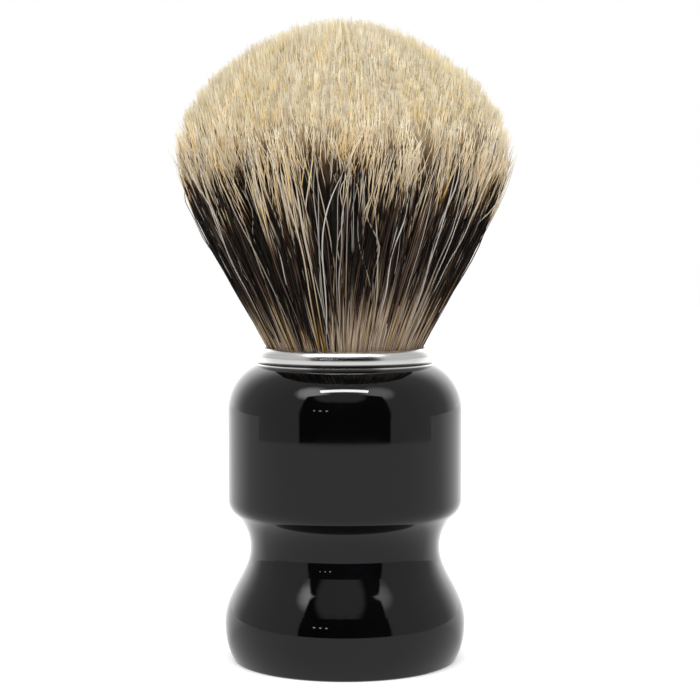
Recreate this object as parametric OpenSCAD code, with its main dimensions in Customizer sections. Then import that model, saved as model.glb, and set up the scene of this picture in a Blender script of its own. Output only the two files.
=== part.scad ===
// Shaving brush: a turned resin handle, a polished collar ring and a bulb of badger hair.
// Sizes are in millimetres. The foot stands on z = 0, +Z points up through the hair,
// and every piece is centred on the Z axis.

/* [Handle] */
// Height of the handle, from its foot to the face that carries the collar ring
handle_h = 49.2; // [46:0.2:56]
// Diameter of the foot, before its edge is rounded
foot_d = 36.8; // [35.5:0.1:37.2]
// Diameter of the belly at its widest circle
belly_d = 40; // [39.6:0.1:42]
// Height of the belly's widest circle
belly_z = 6.4; // [5:0.1:7]
// Diameter of the waist at its narrowest circle
waist_d = 31.6; // [29.5:0.1:33.5]
// Height of the waist's narrowest circle
waist_z = 18.9; // [17.6:0.1:20]
// How straight the run from the belly to the waist is: 0 would be all curve, 1 all straight
base_run = 0.38; // [0.2:0.02:0.46]
// Share of the run's lean that is reached in its tight bends; softer bends reach the rest
bend_share = 0.75; // [0.7:0.01:0.8]
// Share of the run's bends that belongs to the belly; the waist has the rest
belly_share = 0.57; // [0.5:0.01:0.62]
// Diameter of the straight band that the fingers hold
band_d = 38.9; // [37.5:0.1:41]
// Radius of the round corner under the band
band_corner = 3.2; // [2:0.1:5]
// Height of the shoulder's curve, from the band to the collar ring
shoulder_h = 7.6; // [6:0.2:9]
// Radius of the round edge at the foot
foot_edge = 0.6; // [0.4:0.1:1.2]

/* [Collar ring] */
// Height of the collar ring above the handle
collar_h = 2.9; // [2.4:0.1:3.3]
// Wall of the collar ring
collar_wall = 2.1; // [1.6:0.1:2.6]
// Radius of the ring's rounded outside
ring_bulge = 1.7; // [1.6:0.1:2.4]
// Radius of the ring's mouth, beside the hair
mouth_round = 0.5; // [0.3:0.1:0.7]
// Height of the shadow groove under the ring
groove_h = 0.2; // [0.1:0.1:0.6]
// Depth of the shadow groove under the ring
groove_depth = 0.6; // [0.3:0.1:0.9]
// Length of the spigot that locates the ring in the handle
spigot_h = 3; // [2:0.5:5]
// Wall of the spigot
spigot_wall = 0.8; // [0.6:0.1:1]

/* [Knot] */
// Diameter of the hair where it is bound, which is the size a knot is sold by
knot_d = 24; // [22:1:26]
// Wall of the sleeve round the roots
sleeve_wall = 0.6; // [0.4:0.1:0.9]
// Depth of the sleeve below the handle's top face
sleeve_depth = 13; // [11:0.5:16]
// Height of the sleeve above the handle's top face
sleeve_rise = 0.5; // [0.2:0.1:1.5]
// Height of the cast block that holds the roots
plug_h = 5; // [4:0.5:6]
// Thickness of the binding thread
thread_d = 0.6; // [0.4:0.1:0.8]
// Turns of the binding thread
thread_turns = 6; // [4:1:8]

/* [Hair] */
// Height of the hair above the collar ring
hair_loft = 52.8; // [48:0.1:60]
// Diameter of the bulb at its widest circle
bulb_d = 54.8; // [48:0.2:62]
// Height of the crown, from the bulb's widest circle to its top
crown_h = 21.2; // [18:0.2:28]
// Fullness of the crown: 2 is an ellipse, less is more pointed
crown_fullness = 1.8; // [1.5:0.1:2.4]
// Length over which the hair leaves the sleeve nearly straight
root_reach = 11; // [8:0.5:14]
// Lean of the outer hairs where they leave the sleeve, in degrees
root_lean = 22.5; // [18:0.5:26]
// Length over which the flank turns upright at the bulb's widest circle
flank_reach = 6.5; // [4:0.5:10]
// Locks of hair round the bulb
lock_count = 28; // [20:4:32]
// Depth of the valleys between the locks
lock_relief = 0.7; // [0.3:0.1:1]
// Sideways drift of a lock on its way up, in degrees
lock_drift = 5; // [0:1:8]

/* [Fits] */
// Film of adhesive between the sleeve and its socket
glue_film = 0.25; // [0.1:0.05:0.4]
// Adhesive under the knot
glue_bed = 1; // [0.5:0.1:2]
// Gap round the spigot in the handle
spigot_gap = 0.05; // [0.03:0.01:0.15]
// Gap between the sleeve and the collar ring
collar_gap = 0.4; // [0.3:0.1:0.6]
// How far the collar ring stands out past the handle's top face
collar_overhang = 0.35; // [0.1:0.05:0.6]
// Gap between the hair and the hard pieces round it
hair_gap = 0.1; // [0.05:0.05:0.2]

/* [Hidden] */

$fn = 128;

// Radius of an arc that is upright at one end and meets a point w inward and h along at the other
function arc_radius(w, h) = (w * w + h * h) / (2 * w);

// Point on a circle of radius 1 where its outline leans inward by an angle
function lean_point(lean) = [cos(lean), sin(lean)];

// Knot and fits, from the bound hair outwards
knot_r = knot_d / 2;
sleeve_r = knot_r + sleeve_wall;
socket_r = sleeve_r + glue_film;
collar_bore_r = sleeve_r + collar_gap;
collar_r = collar_bore_r + collar_wall;
spigot_r = collar_bore_r + spigot_wall;
bulge_z = collar_h / 2;
top_face_r = collar_r - collar_overhang;
collar_top_z = handle_h + collar_h;
sleeve_z = handle_h - sleeve_depth;
sleeve_top_z = handle_h + sleeve_rise;
socket_z = sleeve_z - glue_bed;
plug_top_z = sleeve_z + plug_h;

// The handle's outline: arcs that run into each other, tight at the belly and the waist, softer between
foot_r = foot_d / 2;
belly_r = belly_d / 2;
waist_r = waist_d / 2;
band_r = band_d / 2;
foot_arc = arc_radius(belly_r - foot_r, belly_z);
foot_centre = [belly_r - foot_arc, belly_z];
base_chord = atan2(belly_r - waist_r, waist_z - belly_z);
base_lean = base_chord * (2 - base_run);
bend_lean = base_lean * bend_share;
softness = (cos(bend_lean - base_chord) - cos(base_chord))
    / (cos(bend_lean - base_chord) - cos(base_lean - base_chord));
base_arcs = (waist_z - belly_z) / (sin(bend_lean) + softness * (sin(base_lean) - sin(bend_lean)));
belly_arc = base_arcs * belly_share;
belly_centre = [belly_r - belly_arc, belly_z];
belly_end = belly_centre + belly_arc * lean_point(bend_lean);
soft_belly_centre = belly_end - softness * belly_arc * lean_point(bend_lean);
run_z = soft_belly_centre[1] + softness * belly_arc * sin(base_lean);
waist_arc = base_arcs - belly_arc;
waist_centre = [waist_r + waist_arc, waist_z];
waist_start = waist_centre - waist_arc * lean_point(bend_lean);
soft_waist_centre = waist_start + softness * waist_arc * lean_point(bend_lean);
corner_r = band_r - band_corner;
corner_rise = sqrt(pow(waist_arc + band_corner, 2) - pow(waist_centre[0] - corner_r, 2));
corner_centre = [corner_r, waist_z + corner_rise];
shoulder_z = handle_h - shoulder_h;
shoulder_arc = arc_radius(band_r - top_face_r, shoulder_h);
shoulder_centre = [band_r - shoulder_arc, shoulder_z];
edge_in = sqrt(pow(foot_arc - foot_edge, 2) - pow(belly_z - foot_edge, 2));
edge_centre = [foot_centre[0] + edge_in, foot_edge];

// Point where two touching arcs meet, going from the first arc's centre
function meeting(centre, arc, other, other_arc) = centre + (other - centre) * arc / (arc + other_arc);
corner_start = meeting(corner_centre, band_corner, waist_centre, waist_arc);
edge_end = meeting(foot_centre, foot_arc, edge_centre, -foot_edge);

// The hair's outline: stem, flank and crown
thread_h = thread_d * thread_turns;
thread_r = knot_r - hair_gap;
stem_r = thread_r - thread_d;
stem_top_z = plug_top_z + thread_h + 2 * hair_gap;
root_r = knot_r - hair_gap;
bulb_r = bulb_d / 2;
crown_z = collar_top_z + hair_loft;
bulb_z = crown_z - crown_h;
flank_rings = 10;
crown_rings = 9;
points_per_lock = 4;
points_round = lock_count * points_per_lock;
lock_rhythm = 10;

// Rectangle from the axis out to a width, between two heights that its neighbours share exactly
module strip(width, low, high) {
    polygon([[0, low], [width, low], [width, high], [0, high]]);
}

// Slice of the handle between two heights, bounded by the outside of an arc
module full_slice(centre, arc, low, high) {
    strip(max(centre[0], knot_r), low, high);
    intersection() {
        translate(centre)
            circle(arc);
        strip(centre[0] + arc, low, high);
    }
}

// Slice of the handle between two heights, hollowed by an arc
module hollow_slice(centre, arc, low, high) {
    difference() {
        strip(centre[0], low, high);
        translate(centre)
            circle(arc);
    }
}

// Half of the handle's outline, as slices stacked on a core that joins them
module handle_outline() {
    strip(knot_r, 0, handle_h);
    full_slice(edge_centre, foot_edge, 0, edge_end[1]);
    full_slice(foot_centre, foot_arc, edge_end[1], belly_z);
    full_slice(belly_centre, belly_arc, belly_z, belly_end[1]);
    full_slice(soft_belly_centre, softness * belly_arc, belly_end[1], run_z);
    hollow_slice(soft_waist_centre, softness * waist_arc, run_z, waist_start[1]);
    hollow_slice(waist_centre, waist_arc, waist_start[1], corner_start[1]);
    full_slice(corner_centre, band_corner, corner_start[1], corner_centre[1]);
    strip(band_r, corner_centre[1], shoulder_z);
    full_slice(shoulder_centre, shoulder_arc, shoulder_z, handle_h);
}

// Turned and polished resin body, bored from the top for the knot and the ring's spigot
module handle() {
    color("#161616")
        difference() {
            rotate_extrude()
                handle_outline();
            translate([0, 0, socket_z])
                cylinder(r = socket_r, h = handle_h);
            translate([0, 0, handle_h - spigot_h - spigot_gap])
                cylinder(r = spigot_r + spigot_gap, h = handle_h);
        }
}

// Half of the ring's outline: a bead with a rounded mouth, on a recessed foot with a spigot under it
module collar_outline() {
    difference() {
        intersection() {
            translate([collar_r - ring_bulge, bulge_z])
                circle(ring_bulge);
            translate([collar_bore_r, groove_h])
                square([collar_wall, collar_h - groove_h]);
        }
        translate([collar_bore_r, collar_h - mouth_round])
            difference() {
                square(mouth_round);
                translate([mouth_round, 0])
                    circle(mouth_round);
            }
    }
    translate([collar_bore_r, 0])
        square([collar_wall - groove_depth, bulge_z]);
    translate([collar_bore_r, -spigot_h])
        square([spigot_wall, spigot_h]);
}

// Polished aluminium ring that closes the joint between the hair and the handle
module collar_ring() {
    color("#D2D3D5")
        translate([0, 0, handle_h])
            rotate_extrude()
                collar_outline();
}

// Cured adhesive: a bed under the knot and a film round its sleeve
module setting_adhesive() {
    color("#C8A860")
        difference() {
            translate([0, 0, socket_z])
                cylinder(r = socket_r, h = handle_h - spigot_h - spigot_gap - socket_z);
            translate([0, 0, sleeve_z])
                cylinder(r = sleeve_r, h = handle_h);
        }
}

// Thin moulded tube that the hair roots are set in
module knot_sleeve() {
    color("#E4E1DA")
        translate([0, 0, sleeve_z])
            difference() {
                cylinder(r = sleeve_r, h = sleeve_depth + sleeve_rise);
                translate([0, 0, -sleeve_wall])
                    cylinder(r = knot_r, h = 2 * sleeve_wall + sleeve_depth + sleeve_rise);
            }
}

// Block of casting resin that locks the root ends together
module root_plug() {
    color("#D9A441")
        translate([0, 0, sleeve_z])
            cylinder(r = knot_r, h = plug_h);
}

// Waxed thread wound round the hair just above the root block, turn beside turn
module binding_thread() {
    color("#EFE6D2")
        translate([0, 0, plug_top_z + hair_gap])
            rotate_extrude() {
                translate([stem_r, 0])
                    square([thread_d / 2, thread_h]);
                for (turn = [0 : thread_turns - 1])
                    translate([stem_r + thread_d / 2, (turn + 0.5) * thread_d])
                        circle(thread_d / 2);
            }
}

// Point at share t along a curve from a to d that leaves towards b and arrives from c
function curve_point(a, b, c, d, t) =
    pow(1 - t, 3) * a + 3 * pow(1 - t, 2) * t * b + 3 * (1 - t) * t * t * c + pow(t, 3) * d;

// Outline of the hair as [radius, height, share of the lock relief], from the root to near the crown
function stem_outline() = [
    [stem_r - hair_gap, plug_top_z, 0],
    [stem_r - hair_gap, stem_top_z, 0],
    [root_r, stem_top_z + thread_d, 0]
];
function flank_outline() = [
    for (ring = [0 : flank_rings - 1])
        let (t = ring / flank_rings)
        let (root_end = [root_r + root_reach * sin(root_lean), sleeve_top_z + root_reach * cos(root_lean)])
        let (p = curve_point([root_r, sleeve_top_z], root_end, [bulb_r, bulb_z - flank_reach], [bulb_r, bulb_z], t))
        [p[0], p[1], max(0, p[1] - collar_top_z) / (bulb_z - collar_top_z)]
];
function crown_outline() = [
    for (ring = [0 : crown_rings - 1])
        let (turn = 90 * ring / crown_rings)
        [
            bulb_r * pow(cos(turn), 2 / crown_fullness),
            bulb_z + crown_h * pow(sin(turn), 2 / crown_fullness),
            pow(cos(turn), 2)
        ]
];

// How deep one lock's valleys are, so that no two neighbours match
function lock_depth(point) =
    lock_relief * (0.75 + 0.25 * cos(360 * lock_rhythm * floor(point / points_per_lock) / lock_count));

// A lock is round across: full at its middle and cut in at its edges
function hair_point(point, p, share_up) =
    let (across = sin(180 * (point % points_per_lock) / points_per_lock))
    let (r = p[0] - lock_depth(point) * p[2] * (1 - across))
    let (a = 360 * point / points_round + lock_drift * p[2] * sin(360 * share_up))
    [r * cos(a), r * sin(a), p[1]];

// Bound bundle of hair: bunched tight at the root, opening to a bulb with a domed crown
module hair_bundle() {
    outline = concat(stem_outline(), flank_outline(), crown_outline());
    rings = len(outline);
    skin = [
        for (ring = [0 : rings - 1])
            for (point = [0 : points_round - 1])
                hair_point(point, outline[ring], ring / rings)
    ];
    foot_face = [for (point = [0 : points_round - 1]) point];
    sides = [
        for (ring = [0 : rings - 2])
            for (point = [0 : points_round - 1])
                let (low = ring * points_round)
                let (next = (point + 1) % points_round)
                [low + point, low + points_round + point, low + points_round + next, low + next]
    ];
    tip = rings * points_round;
    last = tip - points_round;
    crown = [
        for (point = [0 : points_round - 1])
            [last + point, tip, last + (point + 1) % points_round]
    ];
    color("#A08C6C")
        polyhedron(points = concat(skin, [[0, 0, crown_z]]), faces = concat([foot_face], sides, crown));
}

handle();
collar_ring();
setting_adhesive();
knot_sleeve();
root_plug();
binding_thread();
hair_bundle();
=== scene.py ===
import math
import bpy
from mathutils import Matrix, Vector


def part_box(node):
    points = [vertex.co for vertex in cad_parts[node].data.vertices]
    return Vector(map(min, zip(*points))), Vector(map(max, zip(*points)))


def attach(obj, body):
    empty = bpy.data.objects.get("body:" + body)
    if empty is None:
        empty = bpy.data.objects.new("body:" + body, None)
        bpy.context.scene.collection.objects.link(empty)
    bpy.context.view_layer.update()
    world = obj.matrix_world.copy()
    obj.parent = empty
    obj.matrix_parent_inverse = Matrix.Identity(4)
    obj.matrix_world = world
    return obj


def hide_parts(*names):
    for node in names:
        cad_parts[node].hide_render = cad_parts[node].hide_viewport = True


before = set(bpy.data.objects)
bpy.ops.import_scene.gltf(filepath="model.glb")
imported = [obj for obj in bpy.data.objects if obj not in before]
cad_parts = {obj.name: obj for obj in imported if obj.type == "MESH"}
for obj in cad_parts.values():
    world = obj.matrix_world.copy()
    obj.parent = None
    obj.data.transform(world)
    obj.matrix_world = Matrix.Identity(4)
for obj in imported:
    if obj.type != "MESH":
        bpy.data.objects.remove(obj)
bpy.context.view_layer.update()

from types import SimpleNamespace

import bpy
import numpy as np
from mathutils import Vector, kdtree

MM = 0.001
rng = np.random.default_rng(24)

# Places, in millimetres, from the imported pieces
ring_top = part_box("collar_ring")[1].z / MM
mouth_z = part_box("knot_sleeve")[1].z / MM
plug_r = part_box("root_plug")[1].x / MM
stem_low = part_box("root_plug")[1].z / MM
stem_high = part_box("binding_thread")[1].z / MM
hair_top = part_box("hair_bundle")[1].z / MM

# How far inside the plug's side the outermost roots stand, and the side of the bound stem
ROOT_INSET = 0.2
STEM_INSET = 1.0
root_r = plug_r - ROOT_INSET
stem_r = plug_r - STEM_INSET

# The knot's outline, in millimetres: a crown over the widest ring of the bulb. A fullness of 2 would
# make the crown half an ellipse, and less draws its shoulders in. The longest tips stand past the
# solid, whose crown is at the mean height of the tips
TIPS_PAST = 1.35
BULB_R = 27.6
CROWN_H = 22.0
CROWN_FULLNESS = 1.75
bulb_z = hair_top + TIPS_PAST - CROWN_H

# How many tones there are among the hairs. Rich ones are seldom: the richness follows this power of an
# even chance
TONES = 128
SELDOM = 3.0
# The share of a strand's light that comes on through it
LIGHT_THROUGH = 0.36


# ---------------------------------------------------------------- helpers

def linear(hex_code):
    """An sRGB hex colour as the linear colour that a shader takes."""
    channels = [int(hex_code[i:i + 2], 16) / 255 for i in (1, 3, 5)]
    return [c / 12.92 if c <= 0.04045 else ((c + 0.055) / 1.055) ** 2.4 for c in channels] + [1.0]


def across(size):
    """The scale at which a noise's features are about so many millimetres across."""
    return 1 / (size * MM)


def add(tree, kind, settings=None, links=None, stops=()):
    """A node of a kind, with its settings made, its inputs linked and any colour stops placed."""
    node = tree.nodes.new(kind)
    for name, value in (settings or {}).items():
        if isinstance(name, str) and hasattr(node, name):
            setattr(node, name, value)
        else:
            node.inputs[name].default_value = value
    for name, socket in (links or {}).items():
        tree.links.new(socket, node.inputs[name])
    for i, (place, colour) in enumerate(stops):
        stop = node.color_ramp.elements[i] if i < 2 else node.color_ramp.elements.new(place)
        stop.position, stop.color = place, linear(colour)
    return node


def new_material(name):
    """An empty material, its tree and its output node."""
    material = bpy.data.materials.new(name)
    material.use_nodes = True
    tree = material.node_tree
    tree.nodes.clear()
    return material, tree, tree.nodes.new("ShaderNodeOutputMaterial")


# ---------------------------------------------------------------- materials

def polished_resin():
    """Casting resin, black all through, turned on a lathe and buffed on a cloth wheel.

    A deep gloss that mirrors the room in clean outlines: 0.6 mm lathe lines are all but buffed away, and
    clouds some 11 mm across leave the polish a little softer in places.
    """
    material, tree, out = new_material("polished_black_resin")
    place = add(tree, "ShaderNodeTexCoord").outputs["Object"]
    round_axis = add(tree, "ShaderNodeMapping", {"Scale": (across(50), across(50), across(0.6))},
                     {"Vector": place})
    lathe = add(tree, "ShaderNodeTexNoise", {"Scale": 1.0, "Detail": 3.0},
                {"Vector": round_axis.outputs[0]})
    clouds = add(tree, "ShaderNodeTexNoise", {"Scale": across(11), "Detail": 4.0}, {"Vector": place})
    black = add(tree, "ShaderNodeValToRGB", {}, {"Fac": clouds.outputs["Fac"]},
                [(0.35, "#030303"), (0.65, "#060607")])
    polish = add(tree, "ShaderNodeMapRange",
                 {"From Min": 0.3, "From Max": 0.7, "To Min": 0.02, "To Max": 0.045},
                 {"Value": clouds.outputs["Fac"]})
    bump = add(tree, "ShaderNodeBump", {"Strength": 0.02, "Distance": 0.01 * MM},
               {"Height": lathe.outputs["Fac"]})
    resin = add(tree, "ShaderNodeBsdfPrincipled", {"IOR": 1.49, "Specular IOR Level": 0.4},
                {"Base Color": black.outputs[0], "Roughness": polish.outputs[0],
                 "Normal": bump.outputs[0]})
    tree.links.new(resin.outputs[0], out.inputs["Surface"])
    return material


def polished_aluminium():
    """Aluminium bar, turned to the ring's shape and buffed bright.

    A pale, nearly white metal; lathe lines 0.11 mm apart run round it and spread its reflections.
    """
    material, tree, out = new_material("polished_aluminium")
    place = add(tree, "ShaderNodeTexCoord").outputs["Object"]
    round_axis = add(tree, "ShaderNodeMapping", {"Scale": (across(33), across(33), across(0.11))},
                     {"Vector": place})
    lathe = add(tree, "ShaderNodeTexNoise", {"Scale": 1.0, "Detail": 4.0},
                {"Vector": round_axis.outputs[0]})
    silver = add(tree, "ShaderNodeValToRGB", {}, {"Fac": lathe.outputs["Fac"]},
                 [(0.3, "#DAD9D8"), (0.7, "#E9E8E7")])
    polish = add(tree, "ShaderNodeMapRange",
                 {"From Min": 0.3, "From Max": 0.7, "To Min": 0.18, "To Max": 0.28},
                 {"Value": lathe.outputs["Fac"]})
    bump = add(tree, "ShaderNodeBump", {"Strength": 0.1, "Distance": 0.01 * MM},
               {"Height": lathe.outputs["Fac"]})
    aluminium = add(tree, "ShaderNodeBsdfPrincipled", {"Metallic": 1.0},
                    {"Base Color": silver.outputs[0], "Roughness": polish.outputs[0],
                     "Normal": bump.outputs[0]})
    tree.links.new(aluminium.outputs[0], out.inputs["Surface"])
    return material


def inside_handle(name, dark, light, grain, roughness, ior):
    """A material for a piece hidden in the handle: two colours mottled at a grain in millimetres."""
    material, tree, out = new_material(name)
    place = add(tree, "ShaderNodeTexCoord").outputs["Object"]
    mottle = add(tree, "ShaderNodeTexNoise", {"Scale": across(grain), "Detail": 4.0}, {"Vector": place})
    colour = add(tree, "ShaderNodeValToRGB", {}, {"Fac": mottle.outputs["Fac"]},
                 [(0.3, dark), (0.7, light)])
    bump = add(tree, "ShaderNodeBump", {"Strength": 0.2, "Distance": 0.03 * MM},
               {"Height": mottle.outputs["Fac"]})
    body = add(tree, "ShaderNodeBsdfPrincipled", {"IOR": ior, "Roughness": roughness},
               {"Base Color": colour.outputs[0], "Normal": bump.outputs[0]})
    tree.links.new(body.outputs[0], out.inputs["Surface"])
    return material


def hair(name, bands, browns, brightness, richness):
    """Animal hair, washed and combed: a soft sheen, and light that comes on through the thin strands.

    The colour runs along each hair, from its root at 0 to its tip at 1. Each hair keeps one tone of its
    own: how bright it is, how rich its colour, and how brown its dark band is.
    """
    material, tree, out = new_material(name)
    uv = add(tree, "ShaderNodeUVMap", {"uv_map": "OFBake"})
    split = add(tree, "ShaderNodeSeparateXYZ", {}, {"Vector": uv.outputs[0]})
    column = add(tree, "ShaderNodeMath", {"operation": "MULTIPLY", 1: float(TONES)},
                 {0: split.outputs["X"]})
    tone = add(tree, "ShaderNodeMath", {"operation": "FLOOR"}, {0: column.outputs[0]})
    chance = add(tree, "ShaderNodeTexWhiteNoise", {"noise_dimensions": "1D"}, {"W": tone.outputs[0]})
    chances = add(tree, "ShaderNodeSeparateColor", {}, {"Color": chance.outputs["Color"]})
    band = add(tree, "ShaderNodeValToRGB", {}, {"Fac": split.outputs["Y"]}, bands)
    bright = add(tree, "ShaderNodeMapRange", {"To Min": brightness[0], "To Max": brightness[1]},
                 {"Value": chances.outputs["Green"]})
    seldom = add(tree, "ShaderNodeMath", {"operation": "POWER", 1: SELDOM}, {0: chances.outputs["Blue"]})
    rich = add(tree, "ShaderNodeMapRange", {"To Min": richness[0], "To Max": richness[1]},
               {"Value": seldom.outputs[0]})
    toned = add(tree, "ShaderNodeHueSaturation", {},
                {"Color": band.outputs[0], "Value": bright.outputs[0], "Saturation": rich.outputs[0]})
    brown = add(tree, "ShaderNodeValToRGB", {}, {"Fac": chances.outputs["Red"]}, browns)
    colour = add(tree, "ShaderNodeMix", {"data_type": "RGBA", "blend_type": "LIGHTEN", 0: 1.0},
                 {6: toned.outputs[0], 7: brown.outputs[0]})
    strand = add(tree, "ShaderNodeBsdfPrincipled",
                 {"IOR": 1.55, "Roughness": 0.5, "Specular IOR Level": 0.12},
                 {"Base Color": colour.outputs[2]})
    through = add(tree, "ShaderNodeBsdfTranslucent", {}, {"Color": colour.outputs[2]})
    both = add(tree, "ShaderNodeMixShader", {0: LIGHT_THROUGH},
               {1: strand.outputs[0], 2: through.outputs[0]})
    tree.links.new(both.outputs[0], out.inputs["Surface"])
    return material


def packed_hair():
    """The badger hair behind the loose strands, seen only in the gaps between them.

    Banded by height as the strands are, in streaks of a tuft's width, 0.55 mm, and 17 mm long. Its colours
    are darker than the hairs' own, light root and pale tip above all: painted shade of the knot's depth,
    over the hair's real bands.
    """
    material, tree, out = new_material("packed_badger_hair_painted_shade")
    place = add(tree, "ShaderNodeTexCoord").outputs["Object"]
    split = add(tree, "ShaderNodeSeparateXYZ", {}, {"Vector": place})
    along = add(tree, "ShaderNodeMapping", {"Scale": (across(0.55), across(0.55), across(17))},
                {"Vector": place})
    streaks = add(tree, "ShaderNodeTexNoise", {"Scale": 1.0, "Detail": 3.0}, {"Vector": along.outputs[0]})
    height = add(tree, "ShaderNodeMapRange", {"From Min": ring_top * MM, "From Max": hair_top * MM},
                 {"Value": split.outputs["Z"]})
    ragged = add(tree, "ShaderNodeMath", {"operation": "MULTIPLY_ADD", 1: 0.12},
                 {0: streaks.outputs["Fac"], 2: height.outputs[0]})
    # The light root and pale tip are darker than the hairs' own: painted shade of the knot's depth
    band = add(tree, "ShaderNodeValToRGB", {}, {"Fac": ragged.outputs[0]},
               [(0.05, "#4A3B2E"), (0.2, "#2A211B"), (0.34, "#120F0D"), (0.54, "#15100D"),
                (0.61, "#3A2A1C"), (0.67, "#7A664A"), (0.76, "#AA9C80")])
    shade = add(tree, "ShaderNodeMapRange",
                {"From Min": 0.35, "From Max": 0.65, "To Min": 0.55, "To Max": 1.15},
                {"Value": streaks.outputs["Fac"]})
    colour = add(tree, "ShaderNodeHueSaturation", {}, {"Color": band.outputs[0], "Value": shade.outputs[0]})
    bump = add(tree, "ShaderNodeBump", {"Strength": 0.6, "Distance": 0.2 * MM},
               {"Height": streaks.outputs["Fac"]})
    body = add(tree, "ShaderNodeBsdfPrincipled",
               {"IOR": 1.55, "Roughness": 0.7, "Specular IOR Level": 0.2},
               {"Base Color": colour.outputs[0], "Normal": bump.outputs[0]})
    tree.links.new(body.outputs[0], out.inputs["Surface"])
    return material


# Silvertip badger: fawn root, black-brown middle, a short amber turn and a cream tip
badger_bands = [(0.0, "#A48C72"), (0.09, "#CCB494"), (0.14, "#8E745A"), (0.19, "#30251E"),
                (0.28, "#1C1816"), (0.80, "#1C1613"), (0.83, "#4A3020"), (0.85, "#946C42"),
                (0.87, "#E0C899"), (0.905, "#F5E1B9"), (0.95, "#F5E1B8"), (1.0, "#FCF5DF")]
badger_browns = [(0.0, "#141412"), (0.4, "#1E1B19"), (0.7, "#322822"), (0.88, "#4E3C30"), (1.0, "#7A6858")]
crown_badger = hair("crown_badger_hair", badger_bands, badger_browns,
                    brightness=(0.68, 1.06), richness=(0.95, 1.75))
# The outside hairs are paler, as painted light on the flank, which the tent lights less than the crown, and
# closer to one colour
outside_badger_painted_light = hair("outside_badger_hair", badger_bands, badger_browns,
                      brightness=(0.84, 1.12), richness=(0.75, 1.35))
# White hairs from the edge of the pelt, with no dark band
white_bands = [(0.0, "#8C7560"), (0.12, "#B09A82"), (0.3, "#E6DACA"), (0.6, "#FFF6EA"), (1.0, "#FFF8E8")]
white_hair = hair("white_guard_hair", white_bands, [(0.0, "#080706"), (1.0, "#080706")],
                  brightness=(0.4, 0.86), richness=(0.7, 2.0))


# ---------------------------------------------------------------- where each hair runs

# A hair's curve, in millimetres and degrees: how far it reaches straight on from its root and into its
# tip, and how the outermost root and the tips lean out. A hair's layer is 0 at the axis and 1 outside.
# Past the flank's layer a hair reaches less far into its tip, whose lean fades out there
ROOT_REACH = 11.0
ROOT_LEAN = 22.5
TIP_REACH = 10.0
TIP_LEAN = 9.0
FLANK_REACH = 6.5
FLANK_LAYER = 0.92

# What turns or draws a hair aside grows with this power of the way along it
GROWS = 1.5

# The loose hair leans a little: its crown stands this far to the left of the handle's axis
KNOT_LEAN = 0.6

# Level directions keep only x and y; a tiny length leaves one even to a hair on the axis
LEVEL = np.array([1, 1, 0])
TINY = 1e-6

# A tuft draws its hairs' tips together, and each hair follows by between these parts of the pull
FOLLOWS = (0.4, 1.0)

# A hair's wave is two waves over each other, the second closer and as much smaller, and both flatter
# upright than aside. Their number varies from hair to hair, as its thickness does, by these factors
WAVES = (1.0, 2.3)
WAVE_UPRIGHT = 0.35
VARIES = (0.7, 1.3)

# Where the bands lie in a hair's colours, from 0 at the root to 1 at the tip: light root, then dark
# middle, then pale tip. A hair that is drawn only near its tip starts no earlier than in the dark
ROOT_ENDS = 0.2
IN_THE_DARK = 0.3
DARK_ENDS = 0.62
TIP_STARTS = 0.633

# On the crown, hairs of one tone lie in streaks this wide and this long, in millimetres. The streaks'
# ends are staggered by a share of that length, in this many waves round the brush
STREAK_WIDE = 0.5
STREAK_LONG = 14.0
STREAK_STAGGER = 0.45
STREAK_WAVES = 47
# Steps in tone between neighbouring streaks, round the brush and outwards
STEP_ROUND = 31
STEP_OUT = 57


def ripple(turn, waves):
    """The mean of some waves round the brush, each given as how many there are and a phase."""
    return sum(np.sin(turn * count + phase) for count, phase in waves) / len(waves)


def dome(degrees, wide=BULB_R, tall=CROWN_H):
    """Radius and height of the crown's outline, at an angle up from the widest ring of the bulb."""
    angle = np.radians(degrees)
    power = 2 / CROWN_FULLNESS
    return wide * np.cos(angle) ** power, bulb_z + tall * np.sin(angle) ** power


def crown_place(share):
    """Radius and height of the point on the crown inside which a share of all tips lies."""
    r, z = dome(np.linspace(90, 0, 200))
    step = np.hypot(np.diff(r), np.diff(z)) * (r[1:] + r[:-1]) / 2
    area = np.concatenate([[0], np.cumsum(step)])
    return np.interp(share, area / area[-1], r), np.interp(share, area / area[-1], z)


def hair_lines(share, root_turn, tip_turn, short, points, start=0.0, sunk=1.0):
    """Centre lines of hairs as x, y, z in millimetres, and how far along each point is.

    share is the share of the knot inside a hair, short how far its tip stops before the crown's
    surface, start the share of its length where it is first drawn, and sunk how much nearer to the
    axis its root is than its tip would have it.
    """
    layer = np.sqrt(share)
    tip_r, tip_z = crown_place(share)
    lean = np.radians(ROOT_LEAN) * layer * sunk
    tip_lean = np.radians(TIP_LEAN) * layer * np.minimum(1, (1 - layer) / (1 - FLANK_LAYER))
    tip_reach = np.where(layer > FLANK_LAYER, FLANK_REACH, TIP_REACH)
    root = np.stack([root_r * layer * sunk, np.full_like(layer, mouth_z)])
    past_root = root + ROOT_REACH * np.stack([np.sin(lean), np.cos(lean)])
    tip = np.stack([tip_r, tip_z])
    before_tip = tip - tip_reach * np.stack([np.sin(tip_lean), np.cos(tip_lean)])
    corners = (root, past_root, before_tip, tip)
    length = sum(np.hypot(*(b - a)) for a, b in zip(corners, corners[1:]))
    end = 1 - short / length
    t = start + (end - start)[:, None] * np.linspace(0, 1, points)
    s = 1 - t
    weights = (s ** 3, 3 * s * s * t, 3 * s * t * t, t ** 3)
    r, z = [sum(weight * corner[i][:, None] for weight, corner in zip(weights, corners)) for i in (0, 1)]
    turn = root_turn[:, None] + (tip_turn - root_turn)[:, None] * t ** GROWS
    return np.stack([r * np.cos(turn), r * np.sin(turn), z], -1), t


def outward(path):
    """The level direction away from the axis at each point."""
    flat = path * LEVEL
    return flat / (np.linalg.norm(flat, axis=2, keepdims=True) + TINY)


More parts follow.
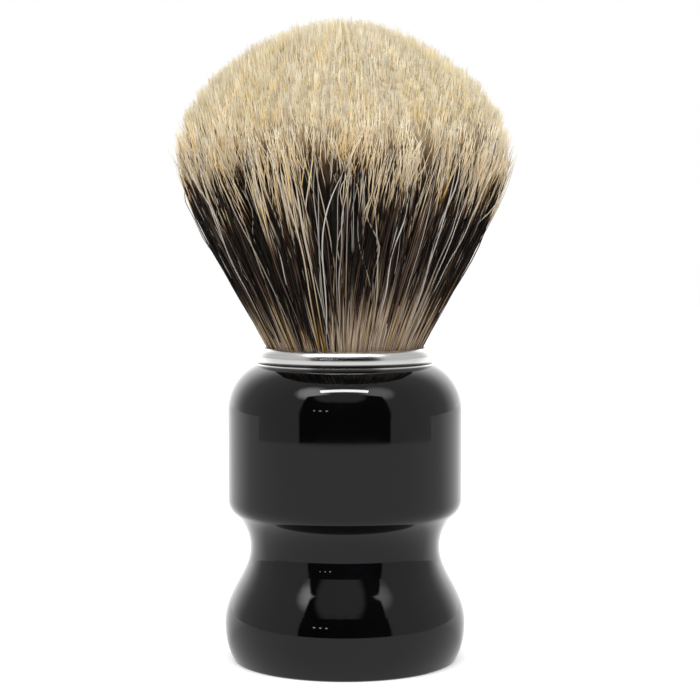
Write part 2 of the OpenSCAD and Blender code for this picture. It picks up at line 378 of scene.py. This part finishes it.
def leaning(points):
    """Points of the hair, moved to the left by its lean, which grows from the sleeve's mouth upwards."""
    rise = np.clip((points[..., 2:] - mouth_z) / (hair_top - mouth_z), 0, None)
    return points - rise * np.array([KNOT_LEAN, 0, 0])


def run_along(path):
    """Length of each hair from its start up to each of its points."""
    step = np.linalg.norm(np.diff(path, axis=1), axis=2)
    return np.concatenate([np.zeros((len(path), 1)), np.cumsum(step, axis=1)], axis=1)


def tufts_of(tips, count):
    """Which of count tufts each hair belongs to, and how far its tip is from that tuft's middle."""
    chosen = rng.choice(len(tips), count, replace=False)
    tree = kdtree.KDTree(count)
    for i, k in enumerate(chosen):
        tree.insert(tips[k], i)
    tree.balance()
    tuft = np.array([tree.find(tip)[1] for tip in tips])
    return tuft, tips[chosen][tuft] - tips


def gathered(path, t, gap, pull):
    """Hairs drawn towards their tufts, by a pull that grows towards their tips."""
    strength = pull * rng.uniform(*FOLLOWS, len(path))
    return path + gap[:, None] * (strength[:, None] * t ** GROWS)[..., None]


def waved(path, t, size, waves):
    """Hairs with a slight wave that grows along them."""
    count = len(path)
    moved = path.copy()
    for axis in range(3):
        for k in WAVES:
            phase = rng.uniform(0, 2 * np.pi, count)[:, None]
            beat = waves * k * rng.uniform(*VARIES, count)[:, None]
            amount = size / k * rng.normal(0, 1, count)[:, None] * (WAVE_UPRIGHT if axis == 2 else 1.0)
            moved[..., axis] += amount * t * (np.sin(2 * np.pi * beat * t + phase) - np.sin(phase))
    return moved


def band_places(path, root_band, tip_band, whole):
    """How far along its colours each point of a hair is, from the lengths of its root and tip bands.

    These bands keep their own lengths on every hair; the dark middle stretches.
    """
    run = run_along(path)
    to_tip = run[:, -1:] - run
    from_tip = 1 - to_tip / tip_band[:, None] * (1 - TIP_STARTS)
    if not whole:
        return np.clip(from_tip, IN_THE_DARK, 1)
    from_root = np.minimum(run / root_band[:, None] * ROOT_ENDS, DARK_ENDS)
    return np.clip(np.where(from_tip > TIP_STARTS, from_tip, from_root), 0, 1)


def streak_tones(tips):
    """A tone for each hair, shared along the streak of the crown that its tip lies in."""
    turn = np.arctan2(tips[:, 1], tips[:, 0])
    stagger = STREAK_STAGGER * np.sin(turn * STREAK_WAVES)
    ring = np.floor(np.hypot(tips[:, 0], tips[:, 1]) / STREAK_LONG + stagger)
    streak = np.floor(turn * (ring + 0.5) * STREAK_LONG / STREAK_WIDE)
    return (streak * STEP_ROUND + ring * STEP_OUT).astype(int) % TONES


# ---------------------------------------------------------------- the knot's pieces

# A hair has three sides. Its taper follows a power and leaves its tip this share of its thickness. Its
# edges lie up to this far from the middle of their tone's column of colours, as a share of its width
SIDES = 3
TAPER = 0.7
BLUNT_TIP = 0.18
EDGES_APART = 0.3


def place_on_brush(name, mesh, material):
    """A piece of the knot from its mesh, which rides on the brush and stands for its hair."""
    mesh.materials.append(material)
    piece = bpy.data.objects.new(name, mesh)
    bpy.context.scene.collection.objects.link(piece)
    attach(piece, "root")
    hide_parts("hair_bundle")


def strands(name, path, place, thick, taper_length, tone, material):
    """One mesh of three-sided hairs, tapered to their tips and closed at both ends."""
    count, points = place.shape
    along = np.gradient(path, axis=1)
    along /= np.linalg.norm(along, axis=2, keepdims=True)
    side = np.cross(along, path * LEVEL + TINY)
    side /= np.linalg.norm(side, axis=2, keepdims=True)
    up = np.cross(side, along)
    run = run_along(path)
    taper = np.clip((run[:, -1:] - run) / taper_length, 0, 1) ** TAPER * (1 - BLUNT_TIP) + BLUNT_TIP
    radius = (thick[:, None] / 2 * taper)[..., None]
    spin = rng.uniform(0, 2 * np.pi, count)[:, None, None]
    edges = [spin + k * 2 * np.pi / SIDES for k in range(SIDES)]
    corners = [path + radius * (np.cos(edge) * side + np.sin(edge) * up) for edge in edges]
    verts = leaning(np.stack(corners, 2)).reshape(-1, 3) * MM
    first = np.arange(count) * points * SIDES
    base = first[:, None, None] + (np.arange(points - 1) * SIDES)[None, :, None]
    k = np.arange(SIDES)[None, None, :]
    n = (k + 1) % SIDES
    quads = np.stack([base + k, base + n, base + n + SIDES, base + k + SIDES], -1).reshape(-1, 4)
    low = first[:, None] + np.arange(SIDES)[::-1]
    high = (first + (points - 1) * SIDES)[:, None] + np.arange(SIDES)
    caps = np.concatenate([low, high])
    mesh = bpy.data.meshes.new(name)
    mesh.vertices.add(len(verts))
    mesh.vertices.foreach_set("co", verts.astype(np.float32).ravel())
    loops = np.concatenate([quads.ravel(), caps.ravel()])
    mesh.loops.add(len(loops))
    mesh.loops.foreach_set("vertex_index", loops.astype(np.int32))
    starts = np.concatenate([np.arange(len(quads)) * 4, len(quads) * 4 + np.arange(len(caps)) * SIDES])
    mesh.polygons.add(len(starts))
    mesh.polygons.foreach_set("loop_start", starts.astype(np.int32))
    mesh.polygons.foreach_set("use_smooth", np.ones(len(starts), bool))
    mesh.update(calc_edges=True)
    column = ((tone + 0.5) / TONES)[:, None, None] + np.linspace(-EDGES_APART, EDGES_APART, SIDES) / TONES
    u = column + np.zeros((count, points, 1))
    v = np.repeat(place[..., None], SIDES, axis=2)
    uv = np.stack([u, v], -1).reshape(-1, 2)
    layer = mesh.uv_layers.new(name="OFBake")
    layer.data.foreach_set("uv", uv[loops].astype(np.float32).ravel())
    place_on_brush(name, mesh, material)


# How tips wander round the brush from their roots, in degrees: together, in waves given as how many
# there are and a phase, and each hair by itself
SWIRL = 2.5
SWIRL_WAVES = ((7, 0.4), (13, 2.0), (23, 4.1))
WANDER = 5.5

# Hairs cling in tufts, and more loosely in locks of about this many, though a piece has at least a few
# locks. Each draws its hairs' tips together by a share of the way
HAIRS_TO_A_LOCK = 90
FEWEST_LOCKS = 8
LOCK_PULL = 0.2
TUFT_PULL = 0.85
# In the middle of the knot a hair gives way to this only by half, and between these layers, counted
# from 0 at the axis to 1 outside, it comes free
HELD = 0.5
HELD_TO = 0.4
FREE_FROM = 0.8

# How far tips stop short of the crown on average, in millimetres, and how much more at most past a
# share of the knot
HAIR_SHORT = 0.8
FLANK_SHORT = 7.0
FLANK_SHARE = 0.93

# About how far tips stray, in millimetres: a hair and its tuft aside and out, and a tuft up, and the
# power of the way along a hair with which that grows
HAIR_ASIDE = 0.4
TUFT_OUT = 0.45
HAIR_OUT = 0.2
TUFT_UP = 0.4
STRAY_GROWS = 4
# About how far hairs past a share of the knot bow out half-way along, in millimetres
BOW = 0.35
BOW_SHARE = 0.94
# How many waves a hair has
HAIR_WAVES = 1.3

# What differs between hairs drawn whole and hairs drawn only near their tips. In millimetres: how far
# tufts stray aside, the size of the waves, how unlike tufts are in the length of their tip bands, and
# the length over which a tip tapers. As a share: how many hairs keep the tone of their tuft or streak
WHOLE = SimpleNamespace(aside=1.3, wave=0.42, tip_bands=4.2, taper=9.0, keeps_tone=0.7)
NEAR_TIP = SimpleNamespace(aside=0.65, wave=0.15, tip_bands=2.0, taper=4.5, keeps_tone=0.85)

# Mean lengths of a hair's root band and tip band, in millimetres, and their limits. The tip band is
# shorter on the outside of the knot, to which the inside changes over between these two shares
ROOT_BAND = 8.7
ROOT_BAND_LIMITS = (2, 21)
TIP_BAND = 16.8
TIP_BAND_LIMITS = (9, 82)
SHORTER_OUTSIDE = 4
INSIDE_TO = 0.85
OUTSIDE_FROM = 0.95

# How unlike tip bands are in length, in millimetres, from lock to lock, hair to hair and streak to
# streak, and root bands from tuft to tuft and hair to hair. What a lock adds to its tip bands, it adds
# to its root bands times a factor. A share of all tufts is pale, with tip bands longer by this much
LOCK_TIP_BANDS = 1.5
HAIR_TIP_BANDS = 1.6
STREAK_TIP_BANDS = 2.2
ROOT_BANDS = 4.0
LOCK_ROOT_BANDS = 2.5
PALE_TUFTS = 0.24
PALE_LONGER = (4, 26)

# Where a white hair's colour is at its tip
WHITE_ENDS = 0.95


def by_tuft_and_hair(tuft, tufts_vary, hairs_vary):
    """An amount for each hair, which varies from tuft to tuft and then from hair to hair."""
    return rng.normal(0, tufts_vary, tuft.max() + 1)[tuft] + rng.normal(0, hairs_vary, len(tuft))


def stops_short(share, tuft, uneven):
    """How far before the crown each tip stops: by itself, with its tuft, and further on the flank."""
    count = len(share)
    short = rng.exponential(HAIR_SHORT, count) + rng.exponential(uneven, tuft.max() + 1)[tuft]
    return short + FLANK_SHORT * rng.uniform(0, 1, count) ** 2 * (share > FLANK_SHARE)


def strayed(path, t, tuft, tip_turn, loose, tufts_aside):
    """Hairs whose tips stray aside, out and up, mostly with their tufts."""
    aside = by_tuft_and_hair(tuft, tufts_aside, HAIR_ASIDE)
    out = by_tuft_and_hair(tuft, TUFT_OUT, HAIR_OUT)
    up = rng.normal(0, TUFT_UP, tuft.max() + 1)[tuft]
    stray = np.stack([out * np.cos(tip_turn) - aside * np.sin(tip_turn),
                      out * np.sin(tip_turn) + aside * np.cos(tip_turn), up], -1)
    return path + stray[:, None] * (loose[:, None] * t ** STRAY_GROWS)[..., None]


def bowed(path, t, share):
    """Hairs of which the outermost bow out between root and tip."""
    bow = np.abs(rng.normal(0, BOW, len(share))) * (share > BOW_SHARE)
    return path + outward(path) * (bow[:, None] * np.sin(np.pi * t))[..., None]


def band_lengths(share, lock, tuft, streak, kind):
    """The lengths of each hair's root band and tip band, in millimetres."""
    count, tufts = len(share), tuft.max() + 1
    outside = np.clip((share - INSIDE_TO) / (OUTSIDE_FROM - INSIDE_TO), 0, 1)
    by_lock = rng.normal(0, LOCK_TIP_BANDS, lock.max() + 1)[lock]
    by_tuft = rng.normal(0, kind.tip_bands, tufts)[tuft]
    pale = np.where(rng.uniform(0, 1, tufts) < PALE_TUFTS, rng.uniform(*PALE_LONGER, tufts), 0)[tuft]
    tip_band = TIP_BAND - SHORTER_OUTSIDE * outside + by_lock + by_tuft
    tip_band += rng.normal(0, HAIR_TIP_BANDS, count) + pale
    if kind is NEAR_TIP:
        tip_band += rng.normal(0, STREAK_TIP_BANDS, TONES)[streak]
    root_band = ROOT_BAND + LOCK_ROOT_BANDS * by_lock + by_tuft_and_hair(tuft, ROOT_BANDS, ROOT_BANDS)
    return np.clip(root_band, *ROOT_BAND_LIMITS), np.clip(tip_band, *TIP_BAND_LIMITS)


def tones_of(tuft, streak, kind):
    """A tone for each hair: its tuft's, or near the tip its streak's, but for some hairs one of its own."""
    count = len(tuft)
    shared = rng.integers(0, TONES, tuft.max() + 1)[tuft] if kind is WHOLE else streak
    kept = rng.uniform(0, 1, count) < kind.keeps_tone
    return np.where(kept, shared, rng.integers(0, TONES, count))


def tufted_hair(name, material, count, shares, points, per_tuft, uneven, start=0.0, thick=0.2):
    """Part of the knot: hairs in tufts, whose tips lie between two shares of the crown.

    points is how many points a hair has, per_tuft how many hairs cling together, uneven how far in
    millimetres whole tufts stop short, and start the share of its length where a hair is first drawn.
    Hairs are drawn some 0.2 mm thick, twice the real hair, as each stands for a few.
    """
    kind = NEAR_TIP if start else WHOLE
    share = rng.uniform(*shares, count)
    root_turn = rng.uniform(0, 2 * np.pi, count)
    tip_turn = root_turn + np.radians(SWIRL) * ripple(root_turn, SWIRL_WAVES)
    tip_turn = tip_turn + np.radians(WANDER) * rng.normal(0, 1, count)
    tip_r, tip_z = crown_place(share)
    tips = np.stack([tip_r * np.cos(tip_turn), tip_r * np.sin(tip_turn), tip_z], -1)
    lock, lock_gap = tufts_of(tips, max(FEWEST_LOCKS, count // HAIRS_TO_A_LOCK))
    tuft, tuft_gap = tufts_of(tips, int(count / per_tuft))
    short = stops_short(share, tuft, uneven)
    path, t = hair_lines(share, root_turn, tip_turn, short, points, start)
    loose = np.clip((np.sqrt(share) - HELD_TO) / (FREE_FROM - HELD_TO), HELD, 1)
    path = gathered(path, t, lock_gap, LOCK_PULL * loose)
    path = gathered(path, t, tuft_gap, TUFT_PULL * loose)
    path = strayed(path, t, tuft, tip_turn, loose, kind.aside)
    path = bowed(path, t, share)
    path = waved(path, t, kind.wave, HAIR_WAVES)
    streak = streak_tones(path[:, -1])
    root_band, tip_band = band_lengths(share, lock, tuft, streak, kind)
    place = band_places(path, root_band, tip_band, kind is WHOLE)
    if material is white_hair:
        place = t * WHITE_ENDS
    tone = tones_of(tuft, streak, kind)
    strands(name, path, place, thick * rng.uniform(*VARIES, count), kind.taper, tone, material)


# White guard hairs: between which shares of the knot their tips lie, how much nearer to the axis their
# roots are, how far they wander, in degrees, and how far they stop short, in millimetres
GUARD_SHARES = (0.9, 1.0)
GUARD_SUNK = (0.84, 1.0)
GUARD_WANDER = 10
GUARD_SHORT = (0, 30)
# About how far they bow out, in millimetres, how much further the few that stand off the knot, what
# share those are, and how full the bow is: a sine to this power
GUARD_BOW = 0.25
STANDS_OFF = (0.8, 2.6)
FEW_STAND_OFF = 0.16
GUARD_BOW_POWER = 1.2
# The size and number of their waves, where their colour starts, and in millimetres how thick they are
# and over what length they taper
GUARD_WAVE = 0.8
GUARD_WAVES = 1.8
GUARD_STARTS = 0.1
GUARD_THICK = (0.1, 0.28)
GUARD_TAPER = 6.0


def guard_hairs(count, points):
    """Pale wavy hairs that rise out of the dark band, and a few that stand off the knot."""
    share = rng.uniform(*GUARD_SHARES, count)
    root_turn = rng.uniform(0, 2 * np.pi, count)
    tip_turn = root_turn + np.radians(GUARD_WANDER) * rng.normal(0, 1, count)
    short = rng.uniform(*GUARD_SHORT, count)
    sunk = rng.uniform(*GUARD_SUNK, count)
    path, t = hair_lines(share, root_turn, tip_turn, short, points, sunk=sunk)
    stands_off = rng.uniform(*STANDS_OFF, count) * (rng.uniform(0, 1, count) < FEW_STAND_OFF)
    away = np.abs(rng.normal(0, GUARD_BOW, count)) + stands_off
    path = path + outward(path) * (away[:, None] * np.sin(np.pi * t) ** GUARD_BOW_POWER)[..., None]
    path = waved(path, t, GUARD_WAVE, GUARD_WAVES)
    tone = rng.integers(0, TONES, count)
    place = GUARD_STARTS + t * (WHITE_ENDS - GUARD_STARTS)
    strands("white_guard_hair", path, place, rng.uniform(*GUARD_THICK, count), GUARD_TAPER, tone, white_hair)


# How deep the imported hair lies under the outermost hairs, in millimetres: at the sleeve's mouth, on the
# flank from a little higher up, at the widest ring of the bulb and at the top of the crown
DEPTH_AT_MOUTH = 0.6
DEPTH_ON_FLANK = 2.0
FLANK_RISE = 20
DEPTH_AT_BULB = 1.7
DEPTH_AT_TOP = 2.4
# Low ridges round it, as a share of its radius, each given as how many there are and a phase
RIDGE_HEIGHT = 0.012
RIDGES = ((23, 1), (37, 0), (61, 2))


def knot_core(steps, flank_points, crown_step):
    """The inside of the knot, about 2 mm under its outside hairs and longest tips, with its bound stem."""
    flank, _ = hair_lines(np.ones(1), np.zeros(1), np.zeros(1), 0, flank_points)
    outline = [(0, stem_low), (stem_r, stem_low), (stem_r, stem_high)]
    outline.append((root_r - DEPTH_AT_MOUTH, stem_high + DEPTH_AT_MOUTH))
    for r, _, z in flank[0]:
        depth = DEPTH_AT_MOUTH + (DEPTH_ON_FLANK - DEPTH_AT_MOUTH) * min(1, (z - mouth_z) / FLANK_RISE)
        outline.append((r - depth, z))
    wide, tall = BULB_R - DEPTH_AT_BULB, CROWN_H - DEPTH_AT_TOP
    outline += [dome(angle, wide, tall) for angle in range(crown_step, 90, crown_step)]
    turn = np.arange(steps) / steps * 2 * np.pi
    ridges = 1 + RIDGE_HEIGHT * ripple(turn, RIDGES)
    verts = [(0, 0, stem_low)]
    for r, z in outline[1:]:
        verts += [(r * w * math.cos(a), r * w * math.sin(a), z) for a, w in zip(turn, ridges)]
    verts.append((0, 0, bulb_z + tall))
    faces = [(0, 1 + (k + 1) % steps, 1 + k) for k in range(steps)]
    for row in range(len(outline) - 2):
        low = 1 + row * steps
        faces += [(low + k, low + (k + 1) % steps, low + steps + (k + 1) % steps, low + steps + k)
                  for k in range(steps)]
    last = 1 + (len(outline) - 2) * steps
    faces += [(last + k, last + (k + 1) % steps, len(verts) - 1) for k in range(steps)]
    mesh = bpy.data.meshes.new("packed_hair")
    mesh.from_pydata(np.array(verts, float) * MM, [], faces)
    mesh.polygons.foreach_set("use_smooth", [True] * len(faces))
    place_on_brush("packed_hair", mesh, packed_hair())


tufted_hair("outermost_hair", outside_badger_painted_light, 800, (0.94, 1.0), points=18, per_tuft=5, uneven=1.2)
tufted_hair("outermost_white_hair", white_hair, 110, (0.9, 1.0), points=18, per_tuft=1.5, uneven=0.8)
for part in (1, 2):
    tufted_hair(f"outer_hair_{part}", outside_badger_painted_light, 2000, (0.7, 0.94), points=14, per_tuft=7, uneven=1.4,
                thick=0.21)
for part in (1, 2, 3):
    tufted_hair(f"middle_hair_{part}", crown_badger, 4000, (0.4, 0.75), points=7, per_tuft=7, uneven=1.0,
                start=0.5, thick=0.21)
for part in (1, 2, 3):
    tufted_hair(f"crown_hair_{part}", crown_badger, 5600, (0.0, 0.45), points=6, per_tuft=6, uneven=0.9,
                start=0.7)
guard_hairs(160, points=24)
knot_core(steps=360, flank_points=24, crown_step=6)


# ---------------------------------------------------------------- handle, ring and what the handle holds

def dress(node, material):
    """Gives a CAD piece its material."""
    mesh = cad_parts[node].data
    mesh.materials.clear()
    mesh.materials.append(material)


dress("handle", polished_resin())
dress("collar_ring", polished_aluminium())
# Epoxy, poured and cured: amber, with the wet gloss of a free surface
dress("setting_adhesive",
      inside_handle("cured_epoxy", "#A8742E", "#C4934A", grain=2.5, roughness=0.2, ior=1.56))
# Nylon, injection moulded: off-white with a slight tooth
dress("knot_sleeve",
      inside_handle("moulded_nylon", "#D8D3C6", "#E9E5DB", grain=1.1, roughness=0.5, ior=1.53))
# Epoxy, cast round the ends of the hair: brown amber, flecked at the width of a few hairs
dress("root_plug",
      inside_handle("root_casting_resin", "#8F5A1E", "#C08A3C", grain=0.67, roughness=0.3, ior=1.56))
# Cotton thread, twisted and waxed: cream and matt, with a 0.2 mm twist
dress("binding_thread",
      inside_handle("waxed_cotton_thread", "#CFC3A6", "#EFE6D2", grain=0.2, roughness=0.75, ior=1.5))


# ---------------------------------------------------------------- floor, light and camera

# The floor, in metres: how far it goes back and to each side, and the radius of its rounded front
FLOOR_BACK = 1.5
FLOOR_FRONT = 0.37
# How much the camera sees the paper glow, so that it shows white
PAPER_GLOW = 0.46
# How bright the floor is where the resin and the ring mirror it, beside the brush and behind it
GLARE = (0.9, 2.0)

# The tent's opening, as slopes from straight ahead: it closes aside and upwards over these
OPENING_ASIDE = (0.95, 1.03)
OPENING_UP = (1.25, 1.33)
# How bright the cloth is beside the brush and in front, how bright at most behind it, and how fast and
# with which power that grows, from this share of the way back
CLOTH = 0.6
CLOTH_BEHIND = 2.0
CLOTH_GROWS = 6.0
CLOTH_POWER = 1.5
BEHIND_FROM = 0.4
# A hot spot on each side wall: which way the right one lies, where its edge fades in, as a closeness to
# that direction, and how strong it is on the left (-1) and on the right (1)
HOT_SPOT = (0.446, -0.462, 0.766)
HOT_EDGE = (0.955, 1.0)
HOT_STRENGTHS = ((-1, 4.4), (1, 2.0))
# The hood over the opening: dim spots side by side, so many degrees to the right of the front, with how
# far their direction goes forwards and up
HOOD_TURNS = (-19, -6, 7)
HOOD_FRONT = 0.695
HOOD_UP = 0.719
HOOD_EDGE = (0.965, 0.99)
HOOD_STRENGTH = 0.5


def floor():
    """A plain white sheet that the brush stands on, rounded off in front where the tent opens.

    It keeps the brush's shadow. What the resin and the ring mirror of it is brighter behind the brush.
    """
    turn = np.radians(np.linspace(-180, 0, 49))
    front = [(FLOOR_FRONT * math.cos(a), FLOOR_FRONT * math.sin(a), 0) for a in turn]
    left = [(-FLOOR_BACK, FLOOR_BACK, 0), (-FLOOR_BACK, 0, 0)]
    right = [(FLOOR_BACK, 0, 0), (FLOOR_BACK, FLOOR_BACK, 0)]
    mesh = bpy.data.meshes.new("floor")
    mesh.from_pydata(left + front + right, [], [tuple(range(len(front) + 4))])
    material, tree, out = new_material("white_paper")
    rays = add(tree, "ShaderNodeLightPath")
    lit = add(tree, "ShaderNodeMath", {"operation": "MULTIPLY", 1: PAPER_GLOW},
              {0: rays.outputs["Is Camera Ray"]})
    paper = add(tree, "ShaderNodeBsdfDiffuse", {"Color": linear("#D0D0D0")})
    glow = add(tree, "ShaderNodeEmission", {"Color": linear("#FFFFFF")}, {"Strength": lit.outputs[0]})
    seen = add(tree, "ShaderNodeAddShader", {}, {0: paper.outputs[0], 1: glow.outputs[0]})
    place = add(tree, "ShaderNodeTexCoord").outputs["Object"]
    way = add(tree, "ShaderNodeVectorMath", {"operation": "NORMALIZE"}, {0: place})
    split = add(tree, "ShaderNodeSeparateXYZ", {}, {"Vector": way.outputs[0]})
    behind = add(tree, "ShaderNodeMapRange",
                 {"From Min": 0.2, "From Max": 1.0, "To Min": GLARE[0], "To Max": GLARE[1]},
                 {"Value": split.outputs["Y"]})
    glare = add(tree, "ShaderNodeEmission", {"Color": linear("#FFFFFF")}, {"Strength": behind.outputs[0]})
    mirrored = add(tree, "ShaderNodeMath", {"operation": "MAXIMUM"},
                   {0: rays.outputs["Is Glossy Ray"], 1: rays.outputs["Is Transmission Ray"]})
    both = add(tree, "ShaderNodeMixShader", {},
               {0: mirrored.outputs[0], 1: seen.outputs[0], 2: glare.outputs[0]})
    tree.links.new(both.outputs[0], out.inputs["Surface"])
    mesh.materials.append(material)
    piece = bpy.data.objects.new("floor", mesh)
    bpy.context.scene.collection.objects.link(piece)


def soft_spot(tree, way, aim, edge, strength):
    """A round patch of brightness on the tent's cloth, towards a direction, soft up to its edge."""
    near = add(tree, "ShaderNodeVectorMath", {"operation": "DOT_PRODUCT", 1: aim}, {0: way})
    return add(tree, "ShaderNodeMapRange",
               {"interpolation_type": "SMOOTHSTEP", "From Min": edge[0], "From Max": edge[1],
                "To Min": 0.0, "To Max": strength},
               {"Value": near.outputs["Value"]})


def light_tent():
    """White cloth all round, brighter behind, with a soft hot spot on each side wall.

    It is open and dark towards the front, but for a dim hood over the opening.
    """
    world = bpy.data.worlds.new("light_tent")
    bpy.context.scene.world = world
    world.use_nodes = True
    tree = world.node_tree
    tree.nodes.clear()
    out = tree.nodes.new("ShaderNodeOutputWorld")
    way = add(tree, "ShaderNodeTexCoord").outputs["Generated"]
    split = add(tree, "ShaderNodeSeparateXYZ", {}, {"Vector": way})
    aside = add(tree, "ShaderNodeMath", {"operation": "ABSOLUTE"}, {0: split.outputs["X"]})
    ahead = add(tree, "ShaderNodeMath", {"operation": "MULTIPLY", 1: -1.0}, {0: split.outputs["Y"]})
    slope_aside = add(tree, "ShaderNodeMath", {"operation": "DIVIDE"},
                      {0: aside.outputs[0], 1: ahead.outputs[0]})
    slope_up = add(tree, "ShaderNodeMath", {"operation": "DIVIDE"},
                   {0: split.outputs["Z"], 1: ahead.outputs[0]})
    in_side = add(tree, "ShaderNodeMapRange",
                  {"From Min": OPENING_ASIDE[0], "From Max": OPENING_ASIDE[1], "To Min": 1.0, "To Max": 0.0},
                  {"Value": slope_aside.outputs[0]})
    in_top = add(tree, "ShaderNodeMapRange",
                 {"From Min": OPENING_UP[0], "From Max": OPENING_UP[1], "To Min": 1.0, "To Max": 0.0},
                 {"Value": slope_up.outputs[0]})
    in_front = add(tree, "ShaderNodeMath", {"operation": "GREATER_THAN", 1: 0.02}, {0: ahead.outputs[0]})
    hole = add(tree, "ShaderNodeMath", {"operation": "MULTIPLY"},
               {0: in_side.outputs[0], 1: in_top.outputs[0]})
    opening = add(tree, "ShaderNodeMath", {"operation": "MULTIPLY"},
                  {0: hole.outputs[0], 1: in_front.outputs[0]})
    back = add(tree, "ShaderNodeMath", {"operation": "SUBTRACT", 0: -BEHIND_FROM, "use_clamp": True},
               {1: ahead.outputs[0]})
    rising = add(tree, "ShaderNodeMath", {"operation": "POWER", 1: CLOTH_POWER}, {0: back.outputs[0]})
    wall = add(tree, "ShaderNodeMath", {"operation": "MULTIPLY_ADD", 1: CLOTH_GROWS, 2: CLOTH},
               {0: rising.outputs[0]})
    cloth = add(tree, "ShaderNodeMath", {"operation": "MINIMUM", 1: CLOTH_BEHIND}, {0: wall.outputs[0]})
    for side, strength in HOT_STRENGTHS:
        hot = soft_spot(tree, way, (side * HOT_SPOT[0], *HOT_SPOT[1:]), HOT_EDGE, strength)
        cloth = add(tree, "ShaderNodeMath", {"operation": "ADD"}, {0: cloth.outputs[0], 1: hot.outputs[0]})
    closed = add(tree, "ShaderNodeMath", {"operation": "SUBTRACT", 0: 1.0}, {1: opening.outputs[0]})
    lit = add(tree, "ShaderNodeMath", {"operation": "MULTIPLY"}, {0: cloth.outputs[0], 1: closed.outputs[0]})
    for turn in HOOD_TURNS:
        angle = math.radians(turn)
        aim = (HOOD_FRONT * math.sin(angle), -HOOD_FRONT * math.cos(angle), HOOD_UP)
        hood = soft_spot(tree, way, aim, HOOD_EDGE, HOOD_STRENGTH)
        lit = add(tree, "ShaderNodeMath", {"operation": "MAXIMUM"}, {0: lit.outputs[0], 1: hood.outputs[0]})
    rays = add(tree, "ShaderNodeLightPath")
    tent = add(tree, "ShaderNodeBackground", {"Color": linear("#FFFFFF")}, {"Strength": lit.outputs[0]})
    backdrop = add(tree, "ShaderNodeBackground", {"Color": linear("#FFFFFF"), "Strength": 1.0})
    both = add(tree, "ShaderNodeMixShader", {},
               {0: rays.outputs["Is Camera Ray"], 1: tent.outputs[0], 2: backdrop.outputs[0]})
    tree.links.new(both.outputs[0], out.inputs["Surface"])


def set_up(name, data, place, aim):
    """Puts a lamp or the camera at a place and turns it towards a point, both in metres."""
    item = bpy.data.objects.new(name, data)
    item.location = place
    item.rotation_euler = (Vector(aim) - Vector(place)).to_track_quat("-Z", "Y").to_euler()
    bpy.context.scene.collection.objects.link(item)
    return item


def lamp(name, place, aim, size, watts, mirrored=True):
    """A rectangular lamp, which the resin mirrors or not, with its two sides in metres."""
    light = bpy.data.lights.new(name, "AREA")
    light.shape = "RECTANGLE"
    light.size, light.size_y = size
    light.energy = watts
    set_up(name, light, place, aim).visible_glossy = mirrored


floor()
light_tent()
lamp("front_strip", place=(0, -0.27, 0.5), aim=(0, 0, 0.06), size=(0.36, 0.055), watts=1.7)
lamp("front_fill", place=(0, -0.6, 0.1), aim=(0, 0, 0.07), size=(0.5, 0.18), watts=2.9, mirrored=False)
for number, turn in enumerate((-17.5, -23.4, -29.5)):
    place = (math.sin(math.radians(turn)), -math.cos(math.radians(turn)), 0.3)
    lamp(f"small_lamp_{number + 1}", place, aim=(0, 0, 0.05), size=(0.035, 0.035), watts=0.028)

# The camera looks a little down on the brush's middle, less than a millimetre to the right of its axis
camera_x = 0.00083
camera_data = bpy.data.cameras.new("camera")
camera_data.lens = 104.3
camera = set_up("camera", camera_data, place=(camera_x, -0.335, 0.072), aim=(camera_x, 0, 0.0515))
bpy.context.scene.camera = camera
bpy.context.scene.view_settings.view_transform = "Standard"
